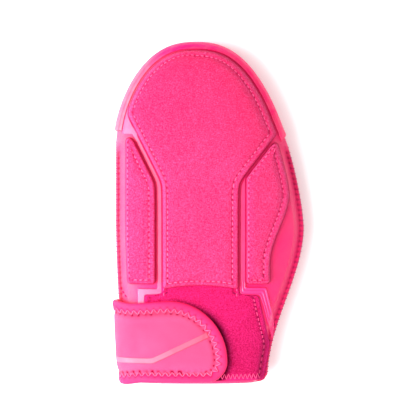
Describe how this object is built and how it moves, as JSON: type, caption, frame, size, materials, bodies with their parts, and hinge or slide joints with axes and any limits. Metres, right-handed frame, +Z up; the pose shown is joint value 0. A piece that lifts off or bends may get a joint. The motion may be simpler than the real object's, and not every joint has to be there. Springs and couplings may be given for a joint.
{
  "type": "sliding mitt",
  "caption": "Padded left-hand sliding mitt with a rubber fingertip guard, raised pads on its back and a wrist strap.",
  "frame": {"origin": "middle of the mitt's outline box, at the height of the surface that it lies on, palm down", "axes": "+Y from the cuff to the fingertips, +X to the thumb's side, +Z up through the back of the hand"},
  "size_m": [0.1486, 0.2656, 0.0392],
  "materials": {
    "neoprene": "smooth knitted face",
    "guard": "satin",
    "brushed_pad": "brushed",
    "patch": "brushed loop",
    "film": "satin",
    "strap": "fine weave"
  },
  "bodies": {
    "root": {"back_panel": "neoprene", "palm_panel": "neoprene", "fingertip_guard": "guard", "center_pad": "brushed_pad", "little_side_pad": "brushed_pad", "thumb_side_pad": "brushed_pad", "wrist_patch": "patch", "film_little": "film", "film_thumb": "film", "wrist_strap": "strap", "strap_roll": "strap", "strap_film": "film"}
  },
  "joints": []
}
